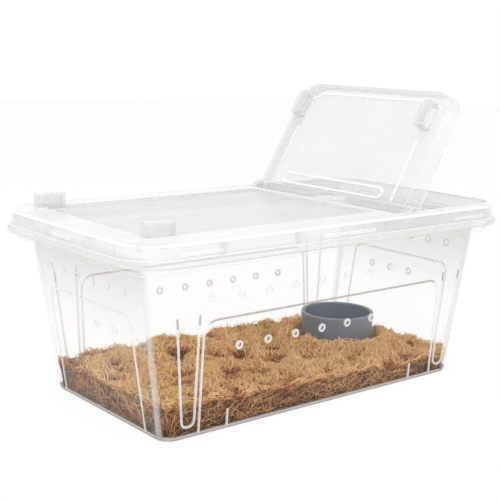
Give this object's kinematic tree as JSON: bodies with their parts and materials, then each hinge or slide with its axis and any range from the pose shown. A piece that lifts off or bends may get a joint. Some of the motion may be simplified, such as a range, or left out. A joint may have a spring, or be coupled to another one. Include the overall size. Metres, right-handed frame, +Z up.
{
  "type": "lizard feeding box",
  "caption": "Clear plastic reptile box with leaning vented walls, a lift-off lid with a hinged feeding hatch, coconut fibre bedding and a dark feeding dish.",
  "frame": {"origin": "centre of the tub's base, on the surface that the box stands on", "axes": "+X along the length towards the hatch end, +Z up, +Y away from the viewer of the picture"},
  "size_m": [0.32, 0.178, 0.2038],
  "materials": {
    "tub_clear": "clear moulded",
    "lid_clear": "clear moulded, slightly milky",
    "hatch_clear": "clear moulded, slightly milky",
    "dish_dark": "satin",
    "coconut_fibre": "loose fibre"
  },
  "bodies": {
    "tub": {"tub": "tub_clear", "coconut_fibre_bedding": "coconut_fibre"},
    "lid": {"lid": "lid_clear"},
    "hatch": {"hatch": "hatch_clear"},
    "dish": {"feeding_dish": "dish_dark"}
  },
  "joints": [
    {"name": "lid_lift", "type": "slide", "parent": "tub", "child": "lid", "axis": [0, 0, 1], "range_m": [0, 0.08]},
    {"name": "hatch_hinge", "type": "hinge", "parent": "lid", "child": "hatch", "pos_m": [0.061, 0, 0.125], "axis": [0, -1, 0], "range_deg": [-59, 66]},
    {"name": "dish_lift", "type": "slide", "parent": "tub", "child": "dish", "axis": [0, 0, 1], "range_m": [0, 0.06]}
  ]
}
